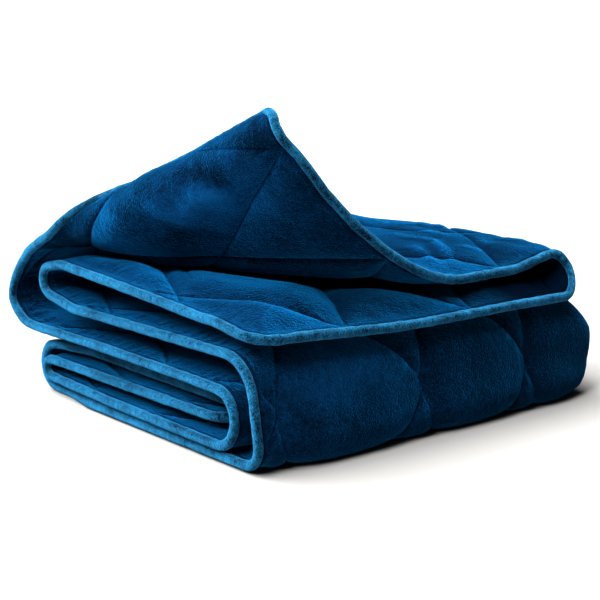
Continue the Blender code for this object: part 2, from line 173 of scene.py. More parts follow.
# u, how far the left end stands above the fold line
lowerLift = ((0.0, 0.017), (0.1, 0.013), (0.2, 0.019), (0.3, 0.024), (0.42, 0.029),
             (0.50, 0.012), (0.56, 0.002), (0.7, 0.002), (end, 0.0))
upperLift = ((0.0, 0.0), (0.25, 0.0), (0.33, 0.012), (0.37, 0.018), (0.42, 0.019), (0.45, 0.009),
             (0.49, -0.008), (0.52, -0.012), (0.56, -0.005), (0.60, -0.001), (0.65, -0.003),
             (0.70, -0.002), (0.80, 0.0), (end, 0.0))
# u, droop of the free edge, how far it is set back
lowerEdge = ((0.0, 0.0, 0.0), (1.0, 0.0, 0.0), (1.14, 0.0, 0.0), (1.41, 0.0, 0.0),
             (1.47, 0.0, 0.011), (1.59, 0.0, 0.012), (1.67, 0.0, 0.029), (end, 0.0, 0.030))
upperEdge = ((0.0, 0.0, -0.035), (0.08, 0.0, -0.041), (0.14, 0.0, -0.044), (0.21, 0.0, -0.054),
             (0.26, 0.0, -0.053), (0.31, 0.0, -0.042), (0.36, 0.0, -0.025), (0.42, 0.0, -0.008),
             (0.50, 0.0, 0.010), (0.53, 0.0, 0.009), (0.57, 0.0, 0.001), (0.63, 0.0, 0.0),
             (0.75, 0.0, 0.0), (1.0, 0.0, 0.0), (1.14, 0.0, -0.004), (1.41, 0.0, -0.003),
             (1.5, 0.0, 0.0), (1.62, 0.001, 0.004), (end, 0.0, 0.012))
# u, how far the right end of the top pair is drawn in, how far it stands up, and its upper half further
rightEnd = ((0.0, 0.013, 0.001, 0.013), (0.03, 0.013, 0.005, 0.010), (0.06, 0.013, 0.008, 0.0065),
            (0.1, 0.0125, 0.009, 0.0035), (0.15, 0.012, 0.010, 0.0035), (0.2, 0.0105, 0.008, 0.0045),
            (0.25, 0.009, 0.006, 0.004), (0.3, 0.0065, 0.003, 0.003), (0.36, 0.004, 0.0, -0.002),
            (0.44, 0.0, -0.003, -0.002), (0.52, 0.0, 0.0, 0.0), (end, 0.0, 0.0, 0.0))
# height above the floor, how far the right end of the roll is drawn in
rollEnd = ((0.0, 0.020), (0.03, 0.008), (0.055, -0.003), (0.085, -0.006), (0.115, -0.001), (0.14, 0.0))
# v, how far the end edge bows out, and how far it is lifted
endEdge = ((0.0, 0.0, 0.0), (0.12, 0.0, 0.001), (0.25, 0.0, 0.0035), (0.42, 0.0, 0.0025),
           (0.55, 0.0, 0.0), (0.86, 0.0, 0.0), (0.97, -0.008, 0.0), (1.03, -0.003, 0.0),
           (1.06, 0.0035, 0.0), (1.09, 0.009, 0.0), (1.13, 0.0115, 0.0), (1.15, 0.011, 0.0),
           (1.175, 0.003, 0.0))
# u, share of the full thickness left where the cloth is pressed
pressed = ((0.0, 1.0), (0.42, 1.0), (0.45, 0.85), (0.50, 0.85), (0.53, 1.0), (1.07, 1.0),
           (1.13, 0.80), (1.42, 0.80), (1.45, 0.70), (1.53, 0.70), (1.58, 0.85), (end, 0.85))
crease = {
    "front": (0.359, 0.025), "back": (-0.046, 0.562), "radius": 0.119, "turn": radians(59.0),
    "level": 0.180, "fadeStart": 0.36, "fadeLength": 0.18,
    "curlWidth": 0.062, "curlTurn": radians(118.0), "curlFadeStart": 0.22, "curlFadeLength": 0.20,
    "curlLeast": 0.01,
}


def readTable(table, u, column=1):
    return np.interp(u, [row[0] for row in table], [row[column] for row in table])


def ease(t):
    t = np.clip(t, 0.0, 1.0)
    return t * t * (3.0 - 2.0 * t)


def rise(value, start, reach):
    return ease((value - start) / reach)


def carryRoundFolds(folds):
    centre = [np.array(fold[1:3]) for fold in folds]
    radius = [fold[3] * fold[4] for fold in folds]
    heading = []
    for here, after, rHere, rAfter in zip(centre, centre[1:], radius, radius[1:]):
        gap = after - here
        heading.append(atan2(gap[1], gap[0]) - asin((rAfter - rHere) / hypot(*gap)))
    points = [centre[0][None]]
    for i in range(1, len(folds) - 1):
        turn = (heading[i] - heading[i - 1]) % (2 * pi)
        if radius[i] < 0:
            turn -= 2 * pi
        count = max(2, int(abs(turn * radius[i]) / folding["step"]) + 1)
        angle = np.linspace(heading[i - 1], heading[i - 1] + turn, count)
        points.append(centre[i] + np.column_stack([np.sin(angle), -np.cos(angle)]) * radius[i])
    points.append(centre[-1][None])
    line = np.concatenate(points)
    straight = folding["straightEnd"]
    first, last = line[1] - line[0], line[-1] - line[-2]
    line = np.vstack([line[0] - first / hypot(*first) * straight, line,
                      line[-1] + last / hypot(*last) * straight])
    length = np.concatenate([[0.0], np.cumsum(np.hypot(*np.diff(line, axis=0).T))]) - straight
    station = np.arange(-folding["overrun"], end + 2 * folding["overrun"], folding["step"])
    reach = int(folding["softness"] / folding["step"])
    weight = np.hanning(reach + 2)[1:-1]
    weight /= weight.sum()
    padded = [np.pad(np.interp(station, length, line[:, k]), reach, mode="edge") for k in (0, 1)]
    y, z = (np.convolve(places, weight, "same")[reach:-reach] for places in padded)
    run = np.concatenate([[0.0], np.cumsum(np.hypot(np.diff(y), np.diff(z)))])
    return run - run[np.argmin(np.abs(station))], y, z


def alongLine(line, u):
    return np.interp(u, line[0], line[1]), np.interp(u, line[0], line[2])


def foldMarks(line):
    inside = np.flatnonzero((line[0] >= 0) & (line[0] <= end))
    side = line[1][inside] > folding["middleOfRuns"]
    crossing = inside[1:][side[1:] != side[:-1]]
    marks = []
    for here, after in zip(crossing, crossing[1:]):
        stretch = line[1][here:after]
        tip = np.argmax(stretch) if stretch[1] > folding["middleOfRuns"] else np.argmin(stretch)
        marks += [line[0][here], line[0][here + tip]]
    return marks + [line[0][crossing[-1]]]


lowerLine = carryRoundFolds(lowerFolds)
upperLine = carryRoundFolds(upperFolds)
lowerMarks = [0.0] + foldMarks(lowerLine) + [end]
upperEnd = end + alongLine(upperLine, end)[0] - alongLine(lowerLine, end)[0]
upperMarks = [0.0] + foldMarks(upperLine) + [upperEnd]


def opposite(u):
    inside = np.clip(u, 0.0, end)
    return np.interp(inside, lowerMarks, upperMarks) + u - inside


def turnUp(x, y, z):
    (fx, fy), (bx, by) = crease["front"], crease["back"]
    along = hypot(bx - fx, by - fy)
    cx, cy = (bx - fx) / along, (by - fy) / along
    dx, dy = x - fx, y - fy
    beyond = np.maximum(-dx * cy + dy * cx, 0.0)
    slide = dx * cx + dy * cy
    turn = np.minimum(beyond / crease["radius"], crease["turn"])
    straight = np.maximum(beyond - crease["radius"] * crease["turn"], 0.0)
    arm = crease["radius"] - (z - crease["level"])
    out = arm * np.sin(turn) + straight * cos(crease["turn"])
    up = crease["radius"] - arm * np.cos(turn) + straight * sin(crease["turn"])
    bent = -dx * cy + dy * cx > 0
    return (np.where(bent, fx + slide * cx - out * cy, x), np.where(bent, fy + slide * cy + out * cx, y),
            np.where(bent, crease["level"] + up, z))


def clothPoint(u, v):
    width = blanket["width"]
    nearEnd = 1 - ease(u / folding["endReach"])
    u = u - readTable(endEdge, v) * nearEnd
    matched = opposite(u)
    lowY, lowZ = alongLine(lowerLine, u)
    highY, highZ = alongLine(upperLine, matched)
    lowX, highX = readTable(lowerEdge, u, 2), readTable(upperEdge, u, 2)
    radius = np.hypot(highY - lowY, highZ - lowZ) / 2
    foldX = (width - pi * radius + lowX + highX) / 2
    turned = np.clip((v - foldX + lowX) / radius, 0.0, pi)
    share = (1 - np.cos(turned)) / 2
    # the lower half, and the turn into the upper one
    x = np.where(turned > 0, foldX + radius * np.sin(turned), lowX + v)
    y = lowY + (highY - lowY) * share
    z = lowZ + (highZ - lowZ) * share
    flat = turned <= 0
    lift = readTable(lowerEdge, u, 1) * (1 - ease(v / folding["droopReach"]))
    reach = np.where(u < folding["bedLength"], folding["bedLiftReach"], folding["liftReach"])
    lift = lift + readTable(lowerLift, u) * (1 - ease(x / reach)) + readTable(endEdge, v, 2) * nearEnd
    z = z + np.where(flat, lift, 0.0)
    # the upper half
    upX = highX + width - v
    slide = ease((upX - folding["slideStart"]) / (foldX - folding["slideStart"]))
    run = u + (matched - u) * slide
    upY, upZ = alongLine(upperLine, run)
    upZ = upZ + readTable(upperEdge, u, 1) * (1 - ease((width - v) / folding["droopReach"]))
    upZ = upZ + readTable(upperLift, run) * (1 - ease(upX / folding["liftReach"]))
    toEdge = np.maximum(crease["curlWidth"] - (width - v), 0.0)
    curl = crease["curlTurn"] / crease["curlWidth"] * (
        1 - rise(u, crease["curlFadeStart"], crease["curlFadeLength"]))
    curl = np.maximum(curl, crease["curlLeast"])
    upX = upX + toEdge - np.sin(toEdge * curl) / curl
    upZ = upZ + (1 - np.cos(toEdge * curl)) / curl
    raised = 1 - rise(run, crease["fadeStart"], crease["fadeLength"])
    bentX, bentY, bentZ = turnUp(upX, upY, upZ)
    upper = turned >= pi
    x = np.where(upper, upX + (bentX - upX) * raised, x)
    y = np.where(upper, upY + (bentY - upY) * raised, y)
    z = np.where(upper, upZ + (bentZ - upZ) * raised, z)
    # the right end, drawn in and stood up at the top, and tucked under at the foot of the roll
    toRight = rise(x, folding["rightStart"], folding["rightReach"])
    toTip = rise(x, folding["tipStart"], folding["tipReach"])
    draw = folding["lowerDraw"] - folding["upperLess"] * share
    x = x - readTable(rightEnd, u) * draw * toRight - readTable(rollEnd, z) * toTip
    z = z + readTable(rightEnd, u, 2) * toRight + readTable(rightEnd, u, 3) * share * toTip
    # between its ends the foot of the roll bulges forward
    foot = ease((folding["footDepth"] - y) / folding["footDepth"]) * ease(1 - z / folding["footHeight"])
    y = y - folding["footBulge"] * foot * rise(x, *folding["footLeft"]) * (1 - rise(x, *folding["footRight"]))
    return np.stack([x - middleOfStack[0], y - middleOfStack[1], z], axis=-1)


def clothFrame(u, v):
    small = 0.002
    along = clothPoint(u + small, v) - clothPoint(u - small, v)
    across = clothPoint(u, v + small) - clothPoint(u, v - small)
    along /= np.linalg.norm(along, axis=-1, keepdims=True)
    across /= np.linalg.norm(across, axis=-1, keepdims=True)
    normal = np.cross(along, across)
    return clothPoint(u, v), along, across, normal / np.linalg.norm(normal, axis=-1, keepdims=True)


# quilting
# place along u, seam crossings passed; spaced unevenly, to meet the seams that show
diamondRows = ((-0.095, -0.5), (0.0, 0.0), (0.192, 1.0), (0.604, 3.0), (0.808, 4.0), (1.180, 6.0),
               (1.828, 9.0), (2.038, 10.0))
# place along v, seam crossings passed
diamondColumns = ((-0.088, -2.0), (0.022, -1.0), (0.132, 0.0), (0.250, 1.0), (0.436, 3.0),
                  (0.600, 5.0), (1.010, 9.0), (1.112, 10.0), (1.198, 11.0))
rollRow = 5
quilting = {
    "perMetre": 5.65,               # seam families passed per metre across a seam
    "channelWidth": 0.050, "channelPower": 2.2, "sewnWidth": 0.0014, "sewnDepth": 0.0032,
    "roundness": 0.10, "slimSide": 1.4, "least": 1e-6,
    "sewnFrom": (0.002, 0.008), "ridgeFade": 0.010, "ridgeEdgeFade": 0.012,
    "nextSeam": 40, "otherFamily": 17,          # keep the puckers of one seam unlike those of another
    "puckerReach": 0.024, "puckerGap": 0.014,   # the puckers fade out away from a seam and at a crossing
}
stretches = {
    # start, spacing of the mesh's rows and columns from there on
    "rows": ((0.0, 0.0062), (0.33, 0.0085), (0.42, 0.0064), (0.62, 0.0105), (0.93, 0.0088),
             (1.15, 0.0200), (1.47, 0.0068), (1.60, 0.0220), (end - 0.03, 0.0100)),
    "columns": ((0.0, 0.0047), (0.056, 0.0090), (0.12, 0.0142), (0.53, 0.0056), (0.655, 0.0074),
                (0.90, 0.0092), (1.119, 0.0047)),
    "edgeBand": 0.058, "edgeCuts": 2, "snap": 0.002, "weld": 0.0011,
}
# how much higher than pressed cloth a diamond stands where nothing lies on it
loft = {
    "underCorner": 0.0115, "cornerInside": 0.0030, "top": 0.0045, "roll": 0.0012, "bigLoop": 0.0030,
    # where each begins or ends, and over what length
    "openFrom": (0.01, 0.09), "shutFrom": (0.36, 0.06), "topEnd": (0.44, 0.08), "loopEnd": (0.60, 0.05),
    "rollStart": (0.93, 0.04), "rollEnd": (1.08, 0.06), "fromEdge": (0.008, 0.05), "fromFold": (0.03, 0.05),
}
# u, height of the puckers where the long edges are gathered into the binding
gatherHeight = ((0.0, 0.0006), (0.30, 0.0008), (0.45, 0.0014), (0.60, 0.0021), (0.95, 0.0021),
                (1.10, 0.0009), (1.50, 0.0012), (end, 0.0010))
gathers = {
    "size": 0.0105, "stretch": 0.20, "seed": 7.3, "insideShift": 0.37, "ribHeight": 3.0, "valleyDepth": 1.0,
    "start": (0.003, 0.006), "upperStart": (0.40, 0.08),   # from the long edge, and along the upper one
    "reach": 0.040, "reachChange": 0.5, "reachSize": 0.020, "reachSeed": 2.1,
}
# soft creases and ridges. Surface, height, half width, then (u, v) along each
wrinkles = (
    ("top", 0.0046, 0.0056, ((0.295, 0.660), (0.300, 0.630), (0.280, 0.600), (0.215, 0.588))),
    ("top", 0.0048, 0.0054, ((0.246, 0.712), (0.225, 0.692), (0.180, 0.699), (0.140, 0.699),
                             (0.072, 0.732), (0.030, 0.756))),
    ("top", 0.0042, 0.0050, ((0.222, 0.660), (0.200, 0.645), (0.150, 0.660))),
    ("top", 0.0042, 0.0050, ((0.165, 0.618), (0.110, 0.635), (0.072, 0.650))),
    ("top", 0.0044, 0.0050, ((0.155, 0.752), (0.135, 0.738), (0.105, 0.748), (0.054, 0.780),
                             (0.028, 0.794))),
    ("top", 0.0042, 0.0050, ((0.100, 0.692), (0.066, 0.678), (0.040, 0.678))),
    ("top", 0.0036, 0.0060, ((0.114, 0.610), (0.090, 0.596), (0.050, 0.600))),
    ("corner", 0.0064, 0.0120, ((0.205, 1.136), (0.186, 1.116), (0.170, 1.098), (0.132, 1.112),
                                (0.112, 1.100), (0.104, 1.068))),
    ("corner", 0.0034, 0.0110, ((0.050, 1.118), (0.032, 1.104), (0.030, 1.080))),
    ("corner", -0.0055, 0.0150, ((0.150, 1.140), (0.110, 1.130), (0.070, 1.100))),
    ("corner", -0.0030, 0.0150, ((0.210, 1.080), (0.160, 1.060), (0.140, 1.040))),
    ("corner", 0.0028, 0.0090, ((0.062, 1.056), (0.054, 1.040))),
    ("bed", -0.0030, 0.0060, ((0.205, 0.012), (0.282, 0.096), (0.350, 0.165))),
    ("bed", 0.0024, 0.0100, ((0.240, 0.030), (0.300, 0.100))),
)
wrinkleEnds = {"taper": 0.3, "left": 0.15}   # share of its length that tapers, and what is left at the end
cornerStart = 0.1                            # v of the turned-up corner, from the lengthwise fold
rollRows = (0.8, 1.2)                        # u of the roll, from and to


# beside the roll a seam bows: the diamond on its left is round there and the one on its right slim
def bulge(row, column, flatten):
    away = np.minimum(np.abs(row - rollRow), 1.0)
    soft, least = quilting["roundness"], quilting["least"]
    share = (np.sqrt(away ** 2 + soft ** 2) - soft) / (hypot(1, soft) - soft)
    left, right = np.sin(share * pi / 2), share ** quilting["slimSide"]
    right, left, away = np.maximum(right, least), np.maximum(left, least), np.maximum(away, least)
    turn = np.mod(column - 1, 2)
    base = column - turn
    if flatten:
        fromRight, fromLeft, toRight, toLeft = right, left, away, away
    else:
        fromRight, fromLeft, toRight, toLeft = away, away, right, left
    between = np.maximum(2 - fromLeft - fromRight, least)
    middle = toRight + (turn - fromRight) * (2 - toLeft - toRight) / between
    return base + np.where(turn < fromRight, turn * toRight / fromRight,
                           np.where(turn > 2 - fromLeft, 2 - (2 - turn) * toLeft / fromLeft, middle))


def toDiamonds(u, v):
    row = np.interp(u, [r[0] for r in diamondRows], [r[1] for r in diamondRows])
    column = np.interp(v, [c[0] for c in diamondColumns], [c[1] for c in diamondColumns])
    return row, bulge(row, column, True)


def fromDiamonds(row, column):
    column = bulge(row, column, False)
    u = np.interp(row, [r[1] for r in diamondRows], [r[0] for r in diamondRows])
    return u, np.interp(column, [c[1] for c in diamondColumns], [c[0] for c in diamondColumns])


# distance from the nearer seam, from the other one, and how far along the nearer one the point lies
def seamPlaces(u, v):
    row, column = toDiamonds(u, v)
    counts = ((row + column) / 2, (row - column) / 2)
    away = [np.abs(count - np.round(count)) / quilting["perMetre"] for count in counts]
    first = away[0] < away[1]
    apart, other = quilting["nextSeam"], quilting["otherFamily"]
    along = np.where(first, counts[1] + apart * np.round(counts[0]),
                     counts[0] + apart * np.round(counts[1]) + other)
    return np.where(first, away[0], away[1]), np.where(first, away[1], away[0]), along / quilting["perMetre"]


def puffAt(near, far):
    puff = 1.0
    for away in (near, far):
        share = np.minimum(away / quilting["channelWidth"], 1.0)
        puff = puff * (1 - (1 - share) ** quilting["channelPower"])
    return puff


def edgeDistances(u, v):
    fromSide = np.minimum(v, blanket["width"] - v)
    return fromSide, np.minimum(np.minimum(u, end - u), fromSide)


def halfThickness(u, v, near, far):
    width = blanket["width"]
    inner = blanket["seamHalf"] + (blanket["puffHalf"] - blanket["seamHalf"]) * puffAt(near, far)
    inner = inner * readTable(pressed, u)
    step = 2 * folding["step"]
    sample = np.arange(0.0, end + step, step)
    y, z = alongLine(lowerLine, sample)
    gap = np.array([np.hypot(upperLine[1] - a, upperLine[2] - b).min() for a, b in zip(y, z)]) / 2
    fromFold = np.maximum(np.abs(v - width / 2) - folding["foldHalfWidth"], 0.0)
    room = folding["foldFill"] * np.interp(u, sample, gap) + folding["foldFlare"] * fromFold
    inner = np.minimum(inner, room)
    fromEdge = edgeDistances(u, v)[1]
    return blanket["edgeHalf"] + (inner - blanket["edgeHalf"]) * ease(fromEdge / blanket["edgeTaper"])


def beyondCrease(x, y):
    (fx, fy), (bx, by) = crease["front"], crease["back"]
    return (-(x - fx) * (by - fy) + (y - fy) * (bx - fx)) / hypot(bx - fx, by - fy)


# how free the inside faces are to stand up, under the turned-up corner
def openness(u, point):
    beyond = beyondCrease(point[:, 0] + middleOfStack[0], point[:, 1] + middleOfStack[1])
    return rise(beyond, *loft["openFrom"]) * (1 - rise(u, *loft["shutFrom"]))


def extraLoft(u, v, inside, point):
    width = blanket["width"]
    clear = loft["fromFold"][0]
    lower, upper = v < width / 2 - clear, v > width / 2 + clear
    free = openness(u, point)
    extra = np.where(inside & lower, loft["underCorner"] * free, 0.0)
    extra = np.where(inside & upper, loft["cornerInside"] * free, extra)
    pastTop = rise(u, *loft["topEnd"])
    onLoop = loft["bigLoop"] * pastTop * (1 - rise(u, *loft["loopEnd"]))
    extra = np.where(~inside & upper, loft["top"] * (1 - pastTop) + onLoop, extra)
    onRoll = rise(u, *loft["rollStart"]) * (1 - rise(u, *loft["rollEnd"]))
    extra = np.where(~inside & lower, loft["roll"] * onRoll, extra)
    fromEdge = edgeDistances(u, v)[1]
    return extra * rise(fromEdge, *loft["fromEdge"]) * rise(np.abs(v - width / 2), *loft["fromFold"])


def surfacesAt(u, v, inside):
    middle = blanket["width"] / 2
    return {"top": ~inside & (v > middle), "corner": inside & (v > middle + cornerStart),
            "bed": inside & (v < middle), "roll": ~inside & (u > rollRows[0]) & (u < rollRows[1])}


def wrinkleHeight(u, v, inside):
    surface = surfacesAt(u, v, inside)
    total = np.zeros(len(u))
    for where, height, halfWidth, line in wrinkles:
        nearest = np.full(len(u), np.inf)
        reached = np.zeros(len(u))
        lengths = [hypot(b[0] - a[0], b[1] - a[1]) for a, b in zip(line, line[1:])]
        whole, before = sum(lengths), 0.0
        for (u0, v0), (u1, v1), length in zip(line, line[1:], lengths):
            t = np.clip(((u - u0) * (u1 - u0) + (v - v0) * (v1 - v0)) / length ** 2, 0, 1)
            away = np.hypot(u - u0 - t * (u1 - u0), v - v0 - t * (v1 - v0))
            closer = away < nearest
            nearest = np.where(closer, away, nearest)
            reached = np.where(closer, before + t * length, reached)
            before += length
        toEnd = np.minimum(reached, whole - reached) / (wrinkleEnds["taper"] * whole)
        taper = ease(toEnd + wrinkleEnds["left"])
        total += np.where(surface[where], height * taper * np.exp(-(nearest / halfWidth) ** 2), 0.0)
    return total


# painted shade where the cloth is made darker for the shadow it lies in, or below 0 a painted highlight where
# it is made brighter. The amounts are set under this light. Surface, amount, u and v of the middle, how far it
# reaches along u and v
paintedShadeSpots = (
    ("bed", 1.50, 0.030, 0.500, 0.100, 0.200),
    ("bed", 0.75, 0.080, 0.220, 0.120, 0.160),
    ("top", 0.25, 0.060, 0.640, 0.140, 0.090),
    ("top", 0.48, 0.170, 0.690, 0.240, 0.200),
    ("bed", -0.90, 0.290, 0.090, 0.100, 0.110),
    ("corner", 0.80, 0.390, 1.110, 0.110, 0.110),
    ("corner", 0.55, 0.230, 1.040, 0.080, 0.060),
    ("corner", 0.30, 0.020, 1.140, 0.060, 0.050),
    ("corner", -0.80, 0.115, 1.085, 0.120, 0.075),
    ("roll", 0.50, 1.000, 0.560, 0.200, 0.260),
    ("roll", 0.20, 1.000, 0.330, 0.200, 0.150),
    ("roll", -0.60, 0.960, 0.120, 0.060, 0.150),
)

# painted highlight on the wrinkle ridges, painted shade deep in the fold behind the turned-up corner, and an
# uneven random tone of the pile
paintedShadeAndToneSettings = {
    "ridge": 95.0, "outside": 2,        # painted highlight: brighter by this on a ridge a metre high, and twice that outside
    # painted shade deep in the fold: how dark, where it starts beyond the crease and along the bed, how far
    # clear of the lengthwise fold
    "deep": 0.9, "foldShadeFrom": (-0.01, 0.06), "bedFrom": (0.05, 0.06), "foldClear": 0.05,
    "uneven": 0.12, "unevenSize": 0.045, "unevenSeed": 5.2,
}


# painted shade and highlight from the spots and deep in the fold, plus an uneven random tone of the pile
def paintedShadeAndToneAt(u, v, inside, point):
    width = blanket["width"]
    surface = surfacesAt(u, v, inside)
    underCorner = u < folding["bedLength"]
    surface["top"] &= underCorner
    total = np.zeros(len(u))
    for where, amount, middleU, middleV, reachU, reachV in paintedShadeSpots:
        away = np.hypot((u - middleU) / reachU, (v - middleV) / reachV)
        total += np.where(surface[where], amount * (1 - ease(away)), 0.0)
    # painted shade deep in the fold behind the turned-up corner
    beyond = beyondCrease(point[:, 0] + middleOfStack[0], point[:, 1] + middleOfStack[1])
    deep = (1 - rise(beyond, *paintedShadeAndToneSettings["foldShadeFrom"])) * np.where(v < width / 2, rise(u, *paintedShadeAndToneSettings["bedFrom"]), 1.0)
    clear = np.abs(v - width / 2) > paintedShadeAndToneSettings["foldClear"]
    total += np.where(inside & underCorner & clear, paintedShadeAndToneSettings["deep"] * deep, 0.0)
    return total + paintedShadeAndToneSettings["uneven"] * smoothNoise(u, v, paintedShadeAndToneSettings["unevenSize"], paintedShadeAndToneSettings["unevenSeed"])


def smoothNoise(u, v, size, seed):
    return np.array([noise.noise(Vector((a / size, b / size, seed))) for a, b in zip(u, v)])


def stations(spacing, last):
    starts = [row[0] for row in spacing] + [last]
    places = []
    for (start, step), after in zip(spacing, starts[1:]):
        count = max(1, round((after - start) / step))
        places += [start + (after - start) * i / count for i in range(count)]
    return places + [last]


def pulledToCorner(x, y):
    radius, width = blanket["cornerRadius"], blanket["width"]
    dx = np.maximum(radius - x, 0.0) - np.maximum(radius - (width - x), 0.0)
    dy = np.maximum(radius - y, 0.0) - np.maximum(radius - (end - y), 0.0)
    shrink = 1 - np.maximum(np.abs(dx), np.abs(dy)) / np.maximum(np.hypot(dx, dy), 1e-9)
    both = (dx != 0) & (dy != 0)
    return x + np.where(both, dx * shrink, 0.0), y + np.where(both, dy * shrink, 0.0)


def flatCloth():
    columns, rows = stations(stretches["columns"], blanket["width"]), stations(stretches["rows"], end)
    mesh = bmesh.new()
    bmesh.ops.create_grid(mesh, x_segments=len(columns) - 1, y_segments=len(rows) - 1, size=0.5)
    for vert in mesh.verts:
        vert.co.x = columns[round((vert.co.x + 0.5) * (len(columns) - 1))]
        vert.co.y = rows[round((vert.co.y + 0.5) * (len(rows) - 1))]
    # three times as many rows beside the long edges, where the cloth is gathered into the binding
    band = stretches["edgeBand"]
    lengthwise = [edge for edge in mesh.edges if abs(edge.verts[0].co.x - edge.verts[1].co.x) < 1e-6
                  and not band < edge.verts[0].co.x < blanket["width"] - band]
    bmesh.ops.subdivide_edges(mesh, edges=lengthwise, cuts=stretches["edgeCuts"],
                              use_grid_fill=True)
    # cut along the seams and close on both sides of them, where the diamonds are all alike
    place = np.array([vert.co for vert in mesh.verts])
    for vert, row, column in zip(mesh.verts, *toDiamonds(place[:, 1], place[:, 0])):
        vert.co.x, vert.co.y = column, row
    reach = int(diamondRows[-1][1] + diamondColumns[-1][1]) // 2 + 1
    beside = 2 * quilting["sewnWidth"] * quilting["perMetre"]
    for side in (1, -1):
        for count in range(-reach, reach + 1):
            for offset in (-beside, 0.0, beside):
                bmesh.ops.bisect_plane(mesh, geom=mesh.verts[:] + mesh.edges[:] + mesh.faces[:],
                                       dist=stretches["snap"], plane_co=(0, 2 * count + offset, 0),
                                       plane_no=(side, 1, 0))
    place = np.array([vert.co for vert in mesh.verts])
    for vert, u, v in zip(mesh.verts, *fromDiamonds(place[:, 1], place[:, 0])):
        vert.co.x, vert.co.y = v, u
    bmesh.ops.remove_doubles(mesh, verts=mesh.verts, dist=stretches["weld"])
    return mesh


def makeQuilt():
    mesh = flatCloth()
    bmesh.ops.solidify(mesh, geom=mesh.faces, thickness=1.0)
    quilt = newObject("blanketQuilt", mesh)
    flat = np.empty(len(quilt.data.vertices) * 3)
    quilt.data.vertices.foreach_get("co", flat)
    flat = flat.reshape(-1, 3)
    v, u = pulledToCorner(flat[:, 0], flat[:, 1])
    inside = flat[:, 2] < (flat[:, 2].max() + flat[:, 2].min()) / 2
    point, along, across, normal = clothFrame(u, v)
    near, far, run = seamPlaces(flat[:, 1], flat[:, 0])
    fromSide, fromEdge = edgeDistances(u, v)
    thick = halfThickness(u, v, near, far)
    thick += extraLoft(u, v, inside, point) * puffAt(near, far)
    ridge = (wrinkleHeight(u, v, inside) * ease(near / quilting["ridgeFade"])
             * ease(fromEdge / quilting["ridgeEdgeFade"]))
    thick += ridge
    groove = quilting["sewnDepth"] * np.exp(-(near / quilting["sewnWidth"]) ** 2)
    thick -= groove * rise(fromEdge, *quilting["sewnFrom"])
    # gathers: round ribs with narrow valleys between, square to the binding
    rib = np.abs(smoothNoise(u + inside * gathers["insideShift"], v * gathers["stretch"], gathers["size"],
                             gathers["seed"]))
    change = smoothNoise(u, v * 0, gathers["reachSize"], gathers["reachSeed"])
    reach = gathers["reach"] * (1 + gathers["reachChange"] * change)
    band = rise(fromSide, *gathers["start"]) * (1 - ease(fromSide / reach))
    band = band * np.where(v < blanket["width"] / 2, 1.0, rise(u, *gathers["upperStart"]))
    thick += readTable(gatherHeight, u) * (gathers["ribHeight"] * rib - gathers["valleyDepth"]) * band
    place = point + normal * (np.where(inside, -1, 1) * thick)[:, None]
    place[:, 2] = np.maximum(place[:, 2], 0.0)
    quilt.data.vertices.foreach_set("co", place.astype(np.float32).ravel())
    pucker = (1 - ease(near / quilting["puckerReach"])) * ease((far - near) / quilting["puckerGap"])
    # painted shade and highlight with the random tone, stored for the material; the wrinkle ridges get a
    # painted highlight
    paintedShadeAndTone = paintedShadeAndToneAt(u, v, inside, point) - paintedShadeAndToneSettings["ridge"] * ridge * np.where(inside, 1, paintedShadeAndToneSettings["outside"])
    for name, values in (("seamRun", run), ("pucker", pucker), ("paintedShadeAndTone", paintedShadeAndTone)):
        stored = quilt.data.attributes.new(name, "FLOAT", "POINT")
        stored.data.foreach_set("value", values.astype(np.float32))
    facesOut(quilt)
    return quilt


def facesOut(thing):
    mesh = bmesh.new()
    mesh.from_mesh(thing.data)
    if mesh.calc_volume(signed=True) < 0:
        bmesh.ops.reverse_faces(mesh, faces=mesh.faces)
    mesh.to_mesh(thing.data)
    mesh.free()
    thing.data.shade_smooth()


# binding
binding = {
    "width": 0.0114, "halfHeight": 0.0063, "flatness": (0.82, 0.86),
    "gap": 0.0003, "rootHalf": 0.0048, "rootReach": 0.0035,
    "stationSpacing": 0.0042, "cornerSteps": 12, "sides": 14, "aboveFloor": 0.0003, "weld": 0.00005,
    "ripple": 0.00045, "rippleSpacing": 0.011, "seed": 11.7,
}


